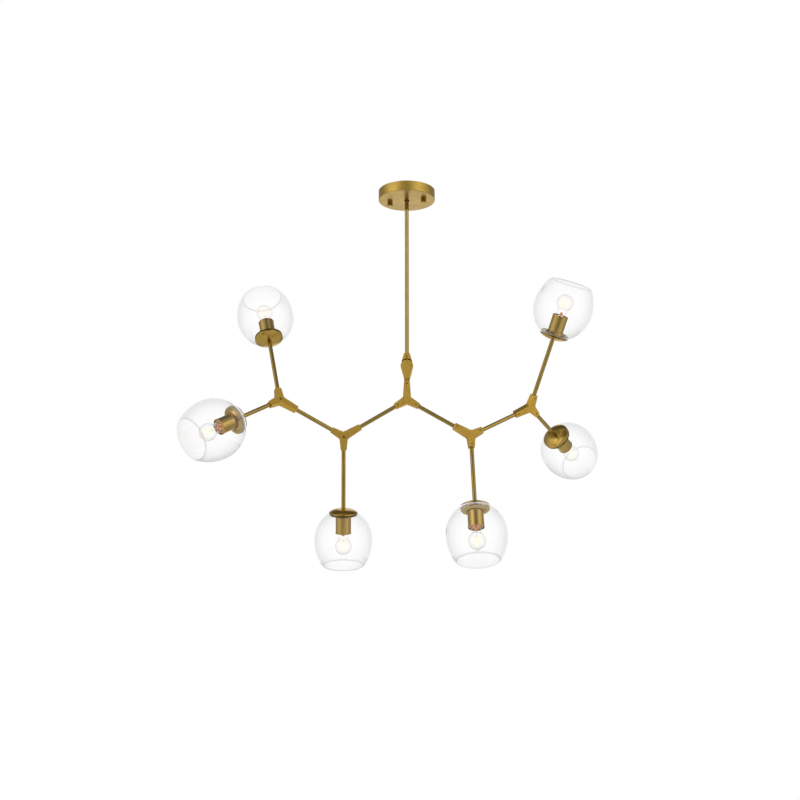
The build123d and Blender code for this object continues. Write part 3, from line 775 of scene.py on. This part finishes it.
def level_ramp(tree, source, stops, low, high):
    """A smooth grey level read from (angle, level) stops, as a share of the brightest."""
    fit = add(tree, "ShaderNodeMapRange")
    fit.inputs["From Min"].default_value = math.radians(low)
    fit.inputs["From Max"].default_value = math.radians(high)
    tree.links.new(source, fit.inputs["Value"])
    node = add(tree, "ShaderNodeValToRGB")
    node.color_ramp.interpolation = "EASE"
    marks = node.color_ramp.elements
    while len(marks) < len(stops):
        marks.new(0.5)
    for mark, (angle, level) in zip(marks, stops):
        mark.position = (angle - low) / (high - low)
        share = level / BRIGHTEST
        mark.color = (share, share, share, 1)
    tree.links.new(fit.outputs["Result"], node.inputs["Fac"])
    return node.outputs["Color"]


world = bpy.data.worlds.new("studio")
scene.world = world
world.use_nodes = True
tree = world.node_tree
tree.nodes.clear()
direction = add(tree, "ShaderNodeTexCoord")
parts = add(tree, "ShaderNodeSeparateXYZ")
tree.links.new(direction.outputs["Generated"], parts.inputs["Vector"])
toward_front = operation(tree, "MULTIPLY", parts.outputs["Y"], -1.0)
aside = operation(tree, "ABSOLUTE", parts.outputs["X"], 0.0)
turn = operation(tree, "ARCTAN2", aside, toward_front)
tilt = operation(tree, "ARCSINE", parts.outputs["Z"], 0.0)
rise = operation(tree, "MULTIPLY", level_ramp(tree, tilt, RISE, -90, 90), BRIGHTEST)
low_level = level_ramp(tree, turn, AROUND_LOW, 0, 180)
low_part = operation(tree, "MULTIPLY", low_level, operation(tree, "SUBTRACT", 1.0, rise))
high_level = level_ramp(tree, turn, AROUND_HIGH, 0, 180)
high_part = operation(tree, "MULTIPLY", high_level, rise)
around = operation(tree, "ADD", low_part, high_part)
height = level_ramp(tree, tilt, HEIGHTS, -90, 90)
room_share = operation(tree, "MULTIPLY", around, height)
room_level = operation(tree, "MULTIPLY", room_share, BRIGHTEST**2)
behind = level_ramp(tree, turn, BEHIND, 0, 180)
far_up = level_ramp(tree, tilt, FAR_UP, -90, 90)
backdrop_share = operation(tree, "MULTIPLY", behind, far_up)
backdrop = operation(tree, "MULTIPLY", backdrop_share, BRIGHTEST**2)
rest = operation(tree, "MULTIPLY", room_level, operation(tree, "SUBTRACT", 1.0, backdrop))
level = operation(tree, "ADD", rest, backdrop)

path = add(tree, "ShaderNodeLightPath")
plain = add(tree, "ShaderNodeBackground")
plain.inputs["Strength"].default_value = FILL_LEVEL
studio = add(tree, "ShaderNodeBackground")
tree.links.new(level, studio.inputs["Strength"])
white = add(tree, "ShaderNodeBackground")
for background in (plain, studio, white):
    background.inputs["Color"].default_value = (1, 1, 1, 1)
in_metal = add(tree, "ShaderNodeMixShader")
tree.links.new(path.outputs["Is Glossy Ray"], in_metal.inputs["Fac"])
tree.links.new(plain.outputs["Background"], in_metal.inputs[1])
tree.links.new(studio.outputs["Background"], in_metal.inputs[2])
camera_ray = path.outputs["Is Camera Ray"]
through_glass = operation(tree, "MAXIMUM", camera_ray, path.outputs["Is Transmission Ray"])
seen = operation(tree, "MAXIMUM", through_glass, path.outputs["Is Singular Ray"])
mix = add(tree, "ShaderNodeMixShader")
tree.links.new(seen, mix.inputs["Fac"])
tree.links.new(in_metal.outputs["Shader"], mix.inputs[1])
tree.links.new(white.outputs["Background"], mix.inputs[2])
output = add(tree, "ShaderNodeOutputWorld")
tree.links.new(mix.outputs["Shader"], output.inputs["Surface"])

# Camera, at the photograph's place

SENSOR_WIDTH = 36.0
FOCAL_LENGTH = 45.2
CAMERA_PLACE = (0.1167, -2.5391, -1.0378)
CAMERA_LOOK = Vector((-0.0521, 0.9819, 0.182))

camera_data = bpy.data.cameras.new("camera")
camera_data.sensor_width = SENSOR_WIDTH
camera_data.lens = FOCAL_LENGTH
camera = bpy.data.objects.new("camera", camera_data)
scene.collection.objects.link(camera)
camera.location = CAMERA_PLACE
camera.rotation_euler = CAMERA_LOOK.to_track_quat("-Z", "Y").to_euler()
scene.camera = camera
